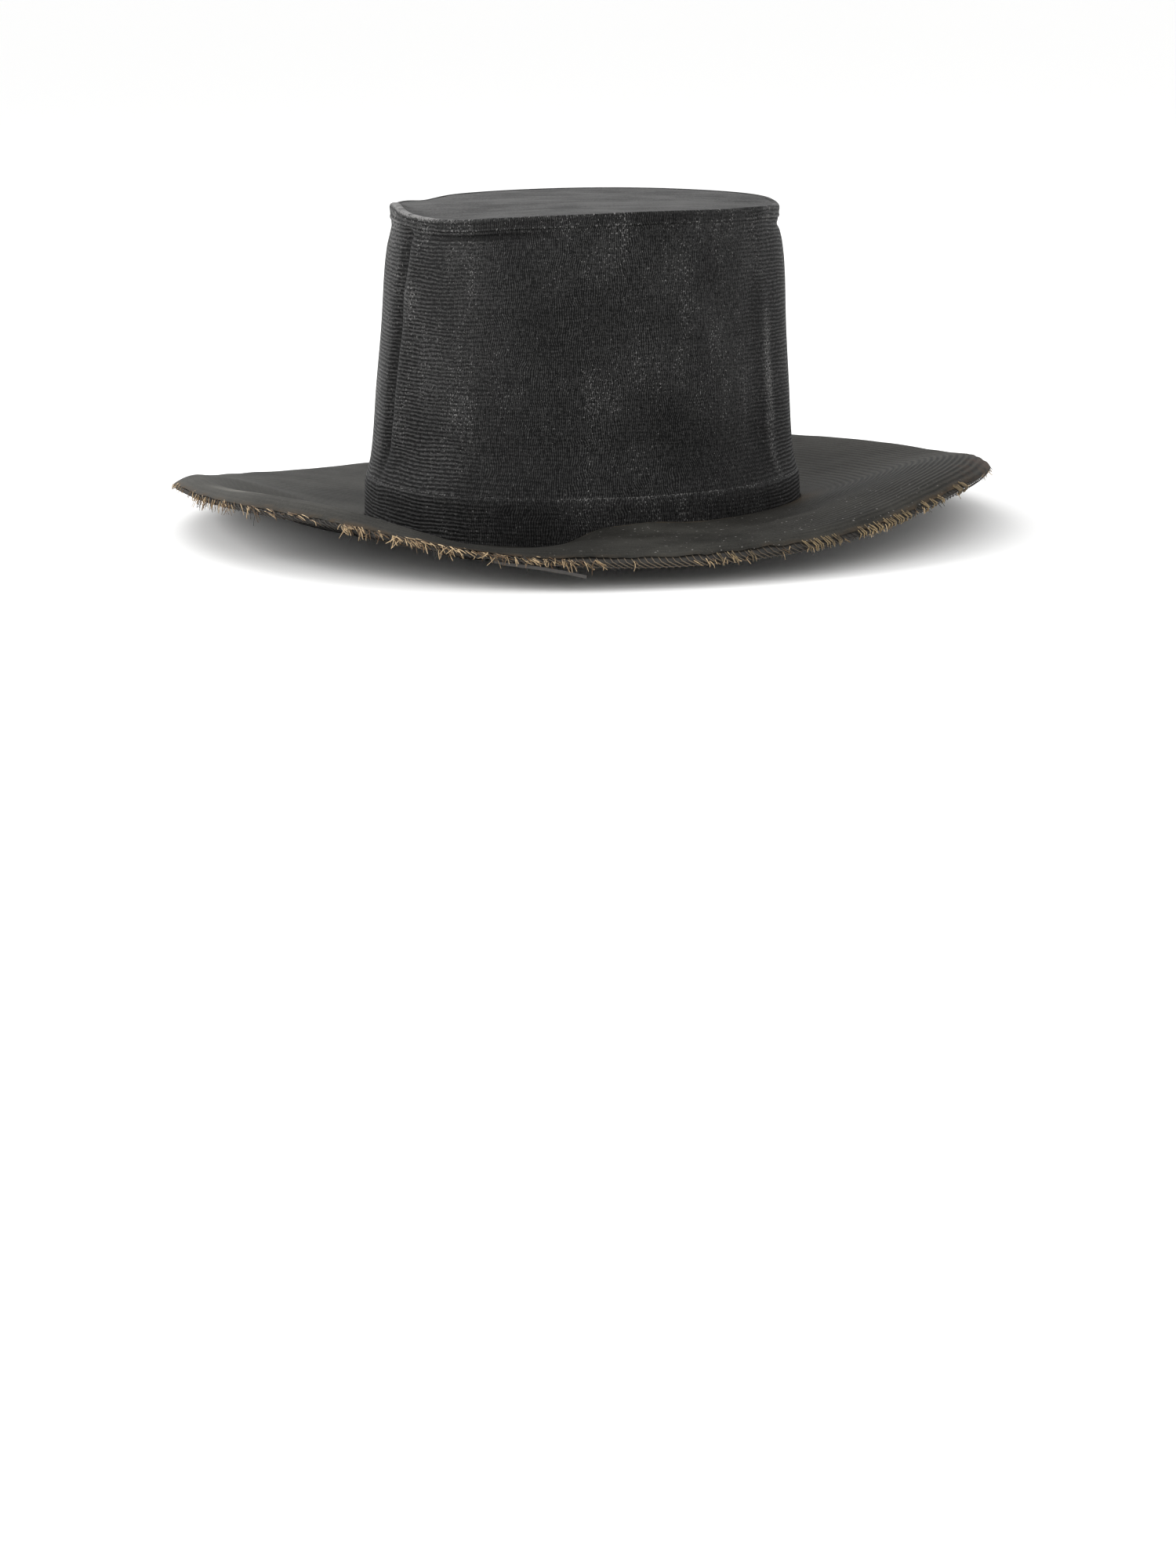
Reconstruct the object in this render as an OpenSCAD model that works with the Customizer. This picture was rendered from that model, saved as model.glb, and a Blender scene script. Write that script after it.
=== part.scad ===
// Wide-brimmed horsehair and bamboo hat, old and a little warped.
// The axis of the crown is Z, the foot of the crown rests at Z = 0, the front looks along -Y.
// Directions round the hat are angles from +X, in degrees.

/* [Brim] */
// Outer diameter of the brim
brim_d = 297; // [280:1:340]
// How far the lip of the brim is folded in from the rim
lip_w = 9; // [6:0.5:12]
// Thickness of the lacquered gauze over the brim
cover_t = 0.3; // [0.2:0.05:0.5]
// Thickness of the splint web under the gauze
web_t = 0.8; // [0.5:0.05:1.2]
// Thickness of the bamboo hoops inside the lip
hoop_t = 1.2; // [0.8:0.1:1.8]

/* [Crown] */
// Outer diameter of the woven wall at its foot
foot_d = 158.2; // [156:0.1:164]
// Outer diameter of the woven wall at its top edge
top_d = 138.2; // [132:0.1:146]
// Height of the top edge above the foot
crown_h = 113.5; // [100:0.5:125]
// How far the top leans to the wearer's left
lean = 2.2; // [0:0.1:4]
// Thickness of the woven wall
wall_t = 0.7; // [0.5:0.05:0.8]
// How far the front of the crown is pressed in
front_flat = 3.5; // [0:0.1:5]

/* [Head opening] */
// Inner diameter of the collar that goes round the wearer's topknot band
head_bore_d = 154; // [146:0.1:154]
// Height of the collar
collar_h = 15; // [10:0.5:18]

/* [Chin cord fixings] */
// Radius of the tie rings, to the middle of the wire
ring_r = 4; // [3:0.1:5]
// Thickness of the tie ring wire
ring_wire = 1; // [0.8:0.05:1.1]
// Distance of each staple from the axis of the crown
staple_x = 96; // [94:0.5:98]
// Height of the staple eye on the left, where the brim is low
left_eye_z = 3.6; // [3.2:0.1:3.8]
// Height of the staple eye on the right, where the brim has risen
right_eye_z = 8.6; // [8.6:0.1:9]
// Angle below level at which the left ring rests, its tip on the table
left_ring_tilt = 21; // [10:1:21]
// Angle below level at which the right ring hangs
right_ring_tilt = 75; // [10:1:80]

/* [Hidden] */

lacquer = "#2e2e2e";
dusty_lacquer = "#454543";
gauze = "#3b3a36";
bamboo = "#8a6a44";
grey_bamboo = "#7d7d78";
thread = "#3a342c";
brass = "#a58a4e";

steps = 72;                       // facets round the hat
turns = [for (i = [0 : steps - 1]) i * 360 / steps];
rim_r = brim_d / 2;
foot_r = foot_d / 2;
top_r = top_d / 2;
band_t = 0.5;                     // the foot band wrapped round the wall
hoop_inner_r = foot_r + band_t + 0.05;  // the inner hoop sits against the foot band
inner_hoop_w = 4;
inner_hoop_h = 1.6;
brim_start = hoop_inner_r + 0.1;

// ---- smooth steps and humps that shape the warp --------------------------------------

function clamp01(t) = min(1, max(0, t));
function ease(t) = let (u = clamp01(t)) u * u * (3 - 2 * u);
// Angle brought into -180..180
function wrap(a) = a - 360 * floor((a + 180) / 360);
// Hump of height 1 at angle `at`, falling away over `width` degrees
function hump(a, at, width) = exp(-pow(wrap(a - at) / width, 2));
// 1 between two angles, fading to 0 over `fade` degrees at either end
function span(a, from, to, fade) =
    ease((wrap(a - from) + fade / 2) / fade) * ease((wrap(to - a) + fade / 2) / fade);
// Value of a [angle, value] list, averaged over a few degrees so that it has no corners
function around(a, list) =
    let (offsets = [-9 : 3 : 9])
    len_sum([for (d = offsets) lookup(wrap(a + d), list)]) / 7;
function len_sum(v, i = 0) = i == len(v) ? 0 : v[i] + len_sum(v, i + 1);

// ---- a closed skin between two sheets of points ----------------------------------------
// Each sheet is a list of closed rows, all with one point for each of `turns`.

// Faces between row a and row b. `back` turns each diagonal the other way, so that a sheet
// drawn backwards has the same facets as its neighbour drawn forwards.
function row_faces(a, b, back) = [
    for (i = [0 : steps - 1])
        let (j = (i + 1) % steps, p = a * steps, q = b * steps)
            each back
                ? [[p + i, p + j, q + i], [p + j, q + j, q + i]]
                : [[p + i, p + j, q + j], [p + i, q + j, q + i]]
];

// A ring skin: its rows go up the first sheet and come back along the second
module ring_skin(rows) {
    n = len(rows);
    polyhedron(
        points = [for (row = rows) each row],
        faces = [for (k = [0 : n - 1]) each row_faces(k, (k + 1) % n, k >= n / 2)],
        convexity = 8
    );
}

function reversed(v) = [for (i = [len(v) - 1 : -1 : 0]) v[i]];

// ---- the crown's surface ---------------------------------------------------------------

// Outline of the crown wall from foot to top, as [height, radius]
crown_profile = [
    [0, foot_r], [16, foot_r], [19, foot_r - 0.7], [24, foot_r - 2], [32, foot_r - 3],
    [50, foot_r - 4.1], [72, foot_r - 5.7], [92, foot_r - 7], [100, foot_r - 8.1],
    [107, foot_r - 9.7], [crown_h, top_r]
];
wall_levels = [0, 0.07, 0.14, 0.17, 0.21, 0.28, 0.44, 0.63, 0.81, 0.88, 0.94, 0.97, 1];
circle_h = 16;                    // up to here the wall stays truly round

// Dents and swellings of the top edge round the crown
function edge_warp(a) = 1.1 * hump(a, -72, 28) + 0.7 * hump(a, 90, 50)
    - 2 * hump(a, -138, 22) - 1.3 * hump(a, -2, 16) - 1 * hump(a, 149, 9);

function edge_z(a) = crown_h + edge_warp(a);

// How far the wall is pushed in at height z: the flattened front and one sharp crease
function press(a, z) =
    let (rise = ease((z - circle_h) / 20))
    front_flat * span(a, -150, -22, 24) * rise * (0.4 + 0.6 * sin(180 * clamp01(z / crown_h)))
    + 1 * hump(a, -153, 3) * rise;

function wall_point(a, level, d) =
    let (
        z = level * edge_z(a),
        r = lookup(z, crown_profile) - press(a, z) + d,
        shift = lean * ease((z - circle_h) / (crown_h - circle_h))
    )
    [shift + r * cos(a), r * sin(a), z];

function wall_row(level, d) = [for (a = turns) wall_point(a, level, d)];

// A strip that lies against the wall, between two levels and two distances from its outside
module wall_strip(levels, d_in, d_out) {
    ring_skin(concat(
        [for (v = levels) wall_row(v, d_in)],
        [for (v = reversed(levels)) wall_row(v, d_out)]
    ));
}

module crown_wall() {
    color(lacquer) wall_strip(wall_levels, -wall_t, 0);
}

// The lid of the crown: a thin disc whose edge follows the warped top of the wall
lid_t = 0.8;
lid_gap = 0.05;                   // between the lid's edge and the binding round it
lid_levels = [1, 0.93, 0.84, 0.72, 0.56, 0.38, 0.2];
function lid_point(a, f, up) =
    let (
        edge = wall_point(a, 1, -lid_gap),
        calm = 1 - pow(1 - f, 1.5),
        z = crown_h + 0.6 * (1 - f) + edge_warp(a) * (f - 0.1) / 0.9 * calm
    )
    [lean + (edge.x - lean) * f, edge.y * f, (f == 1 ? edge.z : z) + up];
function lid_row(f, up) = [for (a = turns) lid_point(a, f, up)];

module crown_top() {
    n = len(lid_levels);
    rows = concat(
        [for (f = lid_levels) lid_row(f, 0)],
        [for (f = reversed(lid_levels)) lid_row(f, lid_t)]
    );
    low = 2 * n * steps;
    high = low + 1;
    color(dusty_lacquer)
    polyhedron(
        points = concat(
            [for (row = rows) each row],
            [[lean, 0, crown_h + 0.6], [lean, 0, crown_h + 0.6 + lid_t]]
        ),
        faces = concat(
            [for (k = [0 : n - 2]) each row_faces(k, k + 1, false)],
            [for (k = [n : 2 * n - 2]) each row_faces(k, k + 1, true)],
            row_faces(2 * n - 1, 0, false),
            [for (i = [0 : steps - 1])
                let (j = (i + 1) % steps, k = (n - 1) * steps) [k + i, k + j, low]],
            [for (i = [0 : steps - 1])
                let (j = (i + 1) % steps, k = n * steps) [k + j, k + i, high]]
        ),
        convexity = 8
    );
}

// Bamboo hoop sprung into the crown just under its lid
module crown_top_hoop() {
    color(bamboo) wall_strip([0.94, 0.97], -wall_t - 1.6, -wall_t);
}

// Strip folded over the top edge and lacquered down
module crown_top_binding() {
    color(dusty_lacquer) wall_strip([0.97, 1, 1.007], 0, 0.5);
}

// Band wrapped round the foot of the crown
module crown_foot_band() {
    color(lacquer) wall_strip([0, 0.07, 0.14, 0.17], 0, band_t);
}

// ---- inside the head opening -----------------------------------------------------------

collar_outer_r = foot_r - wall_t - 0.2;
stitch_count = 48;
stitch = [1.1, 0.5, 0.5];

module collar_ring() {
    color(bamboo)
    rotate_extrude($fn = 96)
        translate([head_bore_d / 2, 0]) square([collar_outer_r - head_bore_d / 2, collar_h]);
}

// Whip stitches over the upper edge of the collar
module collar_stitches() {
    color(thread)
    for (i = [0 : stitch_count - 1])
        rotate([0, 0, i * 360 / stitch_count])
            translate([head_bore_d / 2 + 0.1, -stitch.y / 2, collar_h])
                cube(stitch);
}

// ---- the brim's surface ----------------------------------------------------------------

// Height of the rim round the brim: both sides sweep up, front and back droop
rim_heights = [
    [-180, 13.5], [-165, 20.5], [-140, 20.5], [-123, 19.5], [-110, 15], [-95, 10.5], [-82, 8.2],
    [-65, 9.3], [-48, 13], [-28, 20], [-8, 20.5], [5, 16], [20, 12.5], [50, 10.5], [80, 8],
    [110, 4], [130, 3], [145, 5], [160, 8.5], [180, 13.5]
];
inner_lift = inner_hoop_h + cover_t + web_t;
function rim_z(a) = around(a, rim_heights);
// Drop from the crest of the brim down to its rim; the lip lies nearly flat front left
function lip_drop(a) = 4 - 3.9 * hump(a, -106, 13.4) - 1.6 * hump(a, -157, 14)
    - 2 * hump(a, 135, 40);
crest_r = rim_r - lip_w;
// The gauze stands up against the crown where the brim has worked loose from its hoop
function foot_z(a) = inner_lift + 1.2 * hump(a, -73, 8)
    + 6.8 * ease(wrap(a + 99) / 16) * ease((60 - wrap(a)) / 90);
function crest_z(a) = rim_z(a) + lip_drop(a);

function brim_z(a, r) =
    let (
        t = (r - brim_start) / (crest_r - brim_start),
        u = (r - crest_r) / lip_w,
        valley = 1.8 * span(a, -95, -25, 25) * sin(180 * clamp01(t * 1.6)),
        hollow = 7.1 * span(a, -166, -102, 24) * sin(180 * pow(clamp01(t), 1.3))
    )
    t < 1
        ? foot_z(a) + (crest_z(a) - foot_z(a)) * (0.45 * sin(90 * t) + 0.55 * ease(t))
            - valley - hollow
        : crest_z(a) - lip_drop(a) * u * u;

// Radii at which the brim is drawn, from the crown out to the rim, as a share of the way
brim_shares = [0, 0.06, 0.16, 0.3, 0.45, 0.6, 0.72, 0.82, 0.88, 0.93, 0.97, 1];
last_share = len(brim_shares) - 1;

// Point at a share of the way out, moved by d along the surface normal (down is negative)
function brim_point(a, s, d) =
    let (
        r = brim_start + (rim_r - brim_start) * s,
        h = 0.4,
        slope = (brim_z(a, r + h) - brim_z(a, r - h)) / (2 * h),
        tilt = s == 0 ? 0 : atan(slope)
    )
    [
        (r - d * sin(tilt)) * cos(a),
        (r - d * sin(tilt)) * sin(a),
        brim_z(a, r) + d * cos(tilt)
    ];

// One layer of the brim, between two of the shares and two depths below its outside
module brim_layer(from, to, d_low, d_high) {
    ring_skin(concat(
        [for (k = [from : to]) [for (a = turns) brim_point(a, brim_shares[k], d_high)]],
        [for (k = [to : -1 : from]) [for (a = turns) brim_point(a, brim_shares[k], d_low)]]
    ));
}

module brim_cover() {
    color(gauze) brim_layer(0, last_share, -cover_t, 0);
}

// Fine bamboo splints plaited into one thin sheet
module brim_web() {
    color(bamboo) brim_layer(0, last_share, -cover_t - web_t, -cover_t);
}

hoop_top = -cover_t - web_t;
module rim_hoop_upper() {
    color(bamboo) brim_layer(last_share - 4, last_share - 3, hoop_top - hoop_t, hoop_top);
}

module rim_hoop_lower() {
    color(bamboo) brim_layer(last_share - 1, last_share, hoop_top - hoop_t * 0.8, hoop_top);
}

// Flat hoop that the inner edge of the brim and the crown's foot both rest on
module brim_inner_hoop() {
    color(bamboo)
    rotate_extrude($fn = 96)
        translate([hoop_inner_r, 0]) square([inner_hoop_w, inner_hoop_h]);
}

// Broken end of a rim splint that has sprung out at the front
loose_end = [[-28, -143.4, 9], [-14, -147.6, 7.6], [1, -150.4, 5]];
loose_w = 1.2;
loose_t = 0.5;
module loose_hoop_end() {
    color(grey_bamboo)
    for (i = [0 : len(loose_end) - 2])
        hull() {
            translate(loose_end[i]) cube([0.02, loose_t, loose_w], center = true);
            translate(loose_end[i + 1]) cube([0.02, loose_t, loose_w], center = true);
        }
}

// ---- chin cord fixings -----------------------------------------------------------------

eye_wire = 0.8;
eye_gap = 0.1;
eye_r = ring_wire / 2 + eye_gap + eye_wire / 2;
shank_gap = 0.05;

module torus(major, wire) {
    rotate_extrude($fn = 48)
        translate([major, 0]) circle(d = wire, $fn = 24);
}

// Staple whose shank goes up to the web; side is 1 on the right and -1 on the left
module tie_staple(side, eye_z) {
    under = brim_z(side > 0 ? 0 : 180, staple_x - eye_wire / 2) - cover_t - web_t - shank_gap;
    shank_z = eye_z + eye_r;
    color(brass) translate([side * staple_x, 0, 0]) union() {
        translate([0, 0, eye_z]) rotate([90, 0, 0]) torus(eye_r, eye_wire);
        translate([0, 0, shank_z]) cylinder(d = eye_wire, h = under - shank_z, $fn = 24);
    }
}

module tie_staple_left() { tie_staple(-1, left_eye_z); }
module tie_staple_right() { tie_staple(1, right_eye_z); }

// Wire ring through the staple, leaning outwards and down
module tie_ring(side, eye_z, tilt) {
    color(brass)
    translate([side * staple_x, 0, eye_z])
        rotate([0, side * tilt, 0])
            translate([side * ring_r, 0, 0])
                torus(ring_r, ring_wire);
}

module tie_ring_left() { tie_ring(-1, left_eye_z, left_ring_tilt); }
module tie_ring_right() { tie_ring(1, right_eye_z, right_ring_tilt); }

crown_wall();
crown_top();
crown_top_hoop();
crown_top_binding();
crown_foot_band();
collar_ring();
collar_stitches();
brim_inner_hoop();
brim_web();
brim_cover();
rim_hoop_upper();
rim_hoop_lower();
loose_hoop_end();
tie_staple_left();
tie_staple_right();
tie_ring_left();
tie_ring_right();
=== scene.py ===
import math
import random

import bmesh
import bpy
from mathutils import Matrix, Vector, noise


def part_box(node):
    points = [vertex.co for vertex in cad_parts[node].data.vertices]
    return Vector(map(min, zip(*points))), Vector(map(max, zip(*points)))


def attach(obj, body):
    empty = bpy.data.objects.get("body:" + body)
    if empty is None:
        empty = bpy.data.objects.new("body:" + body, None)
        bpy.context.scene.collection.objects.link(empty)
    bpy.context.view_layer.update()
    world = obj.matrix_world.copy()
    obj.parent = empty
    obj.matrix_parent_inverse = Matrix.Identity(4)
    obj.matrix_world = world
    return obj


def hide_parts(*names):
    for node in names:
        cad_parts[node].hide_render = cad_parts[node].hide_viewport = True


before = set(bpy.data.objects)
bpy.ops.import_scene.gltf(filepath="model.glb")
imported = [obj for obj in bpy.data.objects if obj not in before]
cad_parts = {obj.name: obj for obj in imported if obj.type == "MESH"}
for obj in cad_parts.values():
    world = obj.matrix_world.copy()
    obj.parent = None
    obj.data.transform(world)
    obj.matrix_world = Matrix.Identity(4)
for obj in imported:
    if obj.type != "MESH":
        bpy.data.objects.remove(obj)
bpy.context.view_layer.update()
mm = 0.001

# ---- Studio -----------------------------------------------------------------------------
# A pale floor, a white surround and three soft lamps. The camera is a long lens held a
# little above the brim and turned a hair out of level.
camera_distance = 1.268
camera_rise = math.radians(9.0)
camera_pitch = math.radians(13.61)
camera_roll = math.radians(-0.75)
camera_turn = math.radians(-0.0326)
aim = Vector((0, 0, 4.5 * mm))
crown_middle = Vector((0, 0, 50 * mm))

camera_data = bpy.data.cameras.new("camera")
camera_data.lens = 79.2
camera_data.clip_start = 0.05
camera_data.clip_end = 100
camera = bpy.data.objects.new("camera", camera_data)
bpy.context.collection.objects.link(camera)
stand = aim + camera_distance * Vector((0, -math.cos(camera_rise), math.sin(camera_rise)))
camera.matrix_world = (
    Matrix.Translation(stand)
    @ Matrix.Rotation(camera_turn, 4, "Z")
    @ Matrix.Rotation(math.pi / 2 - camera_pitch, 4, "X")
    @ Matrix.Rotation(camera_roll, 4, "Z")
)
bpy.context.scene.camera = camera

floor_bm = bmesh.new()
bmesh.ops.create_circle(floor_bm, cap_ends=True, segments=64, radius=30)
floor_mesh = bpy.data.meshes.new("floor")
floor_bm.to_mesh(floor_mesh)
floor_bm.free()
floor = bpy.data.objects.new("floor", floor_mesh)
bpy.context.collection.objects.link(floor)
floor_paint = bpy.data.materials.new("floor_paint")
floor_paint.use_nodes = True
floor_shader = floor_paint.node_tree.nodes["Principled BSDF"]
floor_shader.inputs["Base Color"].default_value = (0.93, 0.93, 0.925, 1)
floor_shader.inputs["Roughness"].default_value = 0.9
floor_mesh.materials.append(floor_paint)

surround = bpy.data.worlds.new("surround")
surround.use_nodes = True
surround.node_tree.nodes["Background"].inputs["Color"].default_value = (1, 1, 1, 1)
surround.node_tree.nodes["Background"].inputs["Strength"].default_value = 1.06
bpy.context.scene.world = surround
bpy.context.scene.view_settings.view_transform = "Standard"


def soft_lamp(name, place, size, power):
    """A square lamp that looks at the middle of the crown."""
    data = bpy.data.lights.new(name, "AREA")
    data.size = size
    data.energy = power
    lamp = bpy.data.objects.new(name, data)
    lamp.location = place
    lamp.rotation_euler = (crown_middle - Vector(place)).to_track_quat("-Z", "Y").to_euler()
    bpy.context.collection.objects.link(lamp)


soft_lamp("lamp_left", (-1.6, -0.1, 0.9), 0.9, 18)
soft_lamp("lamp_front", (0.3, -1.6, 0.9), 0.9, 4)
soft_lamp("lamp_behind", (-0.6, 1.1, 1.3), 1.2, 9)


# ---- Crown wall -------------------------------------------------------------------------
# The tall drum of the hat: black lacquered horsehair woven over split bamboo, on a slight
# taper. Its front is pressed flat, one sharp crease runs down the left, and age has rubbed
# the lacquer grey on every rib that stands out.
wall_low, wall_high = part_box("crown_wall")
foot_r = (wall_high.x - wall_low.x) / 2 / mm
crown_h = 113.5
wall_t = 0.7
lean = 2.2
circle_h = 16
crease_angle = -158.5
crease_slant = 5.5
rib_pitch = 1.4
hair_pitch = 0.81
crown_profile = [
    (0, foot_r), (10, foot_r), (16, foot_r - 0.1), (19, foot_r - 0.7), (24, foot_r - 2),
    (32, foot_r - 3), (50, foot_r - 4.1), (72, foot_r - 5.7), (92, foot_r - 7),
    (100, foot_r - 8.1), (107, foot_r - 9.7), (crown_h, foot_r - 10),
]


def ease(t):
    """0 to 1 with soft ends."""
    t = min(1, max(0, t))
    return t * t * (3 - 2 * t)


def turned(a):
    """An angle brought into -180..180."""
    return (a + 180) % 360 - 180


def hump(a, at, width):
    """A hump of height 1 at an angle, falling away over so many degrees."""
    return math.exp(-((turned(a - at) / width) ** 2))


def span(a, start, end, fade):
    """1 between two angles, fading to 0 over so many degrees at either end."""
    return ease((turned(a - start) + fade / 2) / fade) * ease((turned(end - a) + fade / 2) / fade)


def along(points, x):
    """A smooth curve through (x, y) points that never swings past them."""
    if x <= points[0][0]:
        return points[0][1]
    for k in range(len(points) - 1):
        (x0, y0), (x1, y1) = points[k], points[k + 1]
        if x <= x1:
            width = x1 - x0
            rise = (y1 - y0) / width
            before = (y0 - points[k - 1][1]) / (x0 - points[k - 1][0]) if k else rise
            after = (points[k + 2][1] - y1) / (points[k + 2][0] - x1) if k + 2 < len(points) else rise
            enter = 0 if before * rise <= 0 else 2 * before * rise / (before + rise)
            leave = 0 if after * rise <= 0 else 2 * after * rise / (after + rise)
            t = (x - x0) / width
            return (
                y0 * (1 + 2 * t) * (1 - t) ** 2 + enter * width * t * (1 - t) ** 2
                + y1 * t * t * (3 - 2 * t) + leave * width * t * t * (t - 1)
            )
    return points[-1][1]


def edge_z(a):
    """Height of the crown's top edge, dented at the front left and the right."""
    return (
        crown_h + 1.1 * hump(a, -72, 28) + 0.7 * hump(a, 90, 50) - 2 * hump(a, -138, 22)
        - 1.3 * hump(a, -2, 16) - 1 * hump(a, 149, 9)
    )


def wall_point(a, level, d):
    """Point on the crown at an angle, a share of its height and d outside its surface."""
    z = level * edge_z(a)
    rise = ease((z - circle_h) / 20)
    turn = math.radians(a)
    crease_at = crease_angle + crease_slant * z / crown_h + 1.6 * noise.noise(Vector((z / 13, 0, 8)))
    fold_at = -27 + 2 * math.sin(z / 17)
    r = along(crown_profile, z) + d
    r -= 3.5 * span(a, -150, -22, 24) * rise * (0.4 + 0.6 * math.sin(math.pi * min(1, z / crown_h)))
    under_edge = ease((edge_z(a) - z - 1.5) / 6)
    r -= rise * under_edge * (1.8 * hump(a, crease_at, 1.7) - 0.7 * hump(a, crease_at + 5, 2.5))
    r += rise * 0.45 * hump(a, fold_at, 4)
    r += rise * 0.5 * noise.noise(Vector((math.cos(turn) * 2.2, math.sin(turn) * 2.2, z / 45)))
    groove = math.exp(-(((edge_z(a) - z - 6) / 1.3) ** 2)) if d > -0.6 else 0
    r -= groove * (0.2 + 1.1 * hump(a, -122, 24) + 0.5 * hump(a, 0, 14))
    shift = lean * ease((z - circle_h) / (crown_h - circle_h))
    return Vector((shift + r * math.cos(turn), r * math.sin(turn), z))


def on_wall(a, r, z):
    """Point of a piece that follows the wall, from its angle, radius and height before the warp."""
    return wall_point(a, z / crown_h, r - foot_r)


def spun(name, outline, steps, place, closed=True):
    """A ring of one outline of (radius, height) points, spun round the crown's axis and then
    moved point by point. The attribute "flat" keeps each point's place before the move."""
    bm = bmesh.new()
    corners = [bm.verts.new((r, 0, z)) for r, z in outline]
    pairs = list(zip(corners, corners[1:])) + ([(corners[-1], corners[0])] if closed else [])
    edges = [bm.edges.new(pair) for pair in pairs]
    bmesh.ops.spin(
        bm, geom=corners + edges, cent=(0, 0, 0), axis=(0, 0, 1), dvec=(0, 0, 0),
        angle=math.tau, steps=steps, use_merge=True, use_duplicate=False,
    )
    bmesh.ops.remove_doubles(bm, verts=bm.verts, dist=1e-5)
    bmesh.ops.recalc_face_normals(bm, faces=bm.faces)
    flat = bm.verts.layers.float_vector.new("flat")
    for v in bm.verts:
        v[flat] = v.co
        v.co = place(math.degrees(math.atan2(v.co.y, v.co.x)), math.hypot(v.co.x, v.co.y), v.co.z) * mm
    for face in bm.faces:
        face.smooth = True
    mesh = bpy.data.meshes.new(name)
    bm.to_mesh(mesh)
    bm.free()
    piece = bpy.data.objects.new(name, mesh)
    bpy.context.collection.objects.link(piece)
    return piece


def straight(start, end, count):
    """Points from start to end, both of them (radius, height)."""
    return [
        (start[0] + (end[0] - start[0]) * k / count, start[1] + (end[1] - start[1]) * k / count)
        for k in range(count + 1)
    ]


class Value:
    """A socket of a material's node tree. Sums and products of it add Math nodes."""

    def __init__(self, finish, socket):
        self.finish = finish
        self.socket = socket

    def __add__(self, other):
        return self.finish.math("ADD", self, other)

    __radd__ = __add__

    def __mul__(self, other):
        return self.finish.math("MULTIPLY", self, other)

    __rmul__ = __mul__

    def __sub__(self, other):
        return self.finish.math("SUBTRACT", self, other)

    def __rsub__(self, other):
        return self.finish.math("SUBTRACT", other, self)


class Finish:
    """A material in the making, with its Principled shader's fixed values set by name."""

    def __init__(self, name, **fixed):
        self.material = bpy.data.materials.new(name)
        self.material.use_nodes = True
        self.tree = self.material.node_tree
        self.shader = self.tree.nodes["Principled BSDF"]
        for key, value in fixed.items():
            self.shader.inputs[key.replace("_", " ")].default_value = value

    def add(self, kind, settings=None, inputs=None, output=0):
        """Adds one node: its settings first, then the values or links of its sockets."""
        node = self.tree.nodes.new("ShaderNode" + kind)
        for key, value in (settings or {}).items():
            setattr(node, key, value)
        for key, value in (inputs or {}).items():
            self.join(value, node.inputs[key])
        return Value(self, node.outputs[output])

    def join(self, value, socket):
        """Links a Value to a socket, or sets the socket to a plain number or colour."""
        if isinstance(value, Value):
            self.tree.links.new(value.socket, socket)
        else:
            socket.default_value = value

    def math(self, operation, *terms):
        return self.add("Math", {"operation": operation}, dict(enumerate(terms)))

    def band(self, value, low, high):
        """0 below low, 1 above high and smooth between them; the other way round if low > high."""
        return self.add(
            "MapRange", {"interpolation_type": "SMOOTHSTEP"},
            {"Value": value, "From Min": low, "From Max": high, "To Min": 0.0, "To Max": 1.0},
        )

    def blend(self, share, under, over):
        """One colour over another."""
        return self.add("Mix", {"data_type": "RGBA"}, {0: share, 6: under, 7: over}, output=2)

    def cloud(self, place, scale, detail=2.0, roughness=0.5):
        """Noise between 0 and 1."""
        return self.add(
            "TexNoise", None,
            {"Vector": place, "Scale": scale, "Detail": detail, "Roughness": roughness},
        )

    def warped(self):
        """Place of a point on the finished piece, in millimetres."""
        spot = self.add("TexCoord", output="Object")
        return self.add("VectorMath", {"operation": "SCALE"}, {0: spot, "Scale": 1000.0})

    def flat(self):
        """Place of a point before the piece was warped, in millimetres."""
        return self.add("Attribute", {"attribute_name": "flat"}, output="Vector")

    def around(self, spot):
        """Angle round the crown's axis in radians, then the radius and height in millimetres."""
        parts = self.add("SeparateXYZ", None, {0: spot})
        x, y, z = (Value(self, parts.socket.node.outputs[k]) for k in range(3))
        level = self.vector(x, y, 0.0)
        radius = self.add("VectorMath", {"operation": "LENGTH"}, {0: level}, output="Value")
        return self.math("ARCTAN2", y, x), radius, z

    def vector(self, x, y, z):
        """One vector from three numbers or values."""
        return self.add("CombineXYZ", None, {0: x, 1: y, 2: z})

    def wave(self, value, period):
        """1 on each crest and 0 in each trough of a regular wave."""
        return 0.5 + 0.5 * self.math("COSINE", value * (math.tau / period))

    def near(self, angle, at, width):
        """1 at an angle in degrees, falling to 0 over so many degrees on either side."""
        off = self.math("ABSOLUTE", self.math("WRAP", angle - math.radians(at), math.pi, -math.pi))
        return self.band(off, math.radians(width), 0.0)

    def paint(self, colour, roughness, height, depth):
        """Joins the colour and roughness, and a height in millimetres through a Bump node."""
        self.join(colour, self.shader.inputs["Base Color"])
        self.join(roughness, self.shader.inputs["Roughness"])
        bump = self.add("Bump", None, {"Height": height, "Distance": depth * mm, "Strength": 1.0})
        self.join(bump, self.shader.inputs["Normal"])
        return self.material


def grey(level, warmth=0.0):
    """A grey, or a warm one, as linear red, green, blue and alpha."""
    return (level * (1 + warmth), level, level * (1 - warmth), 1.0)


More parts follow.
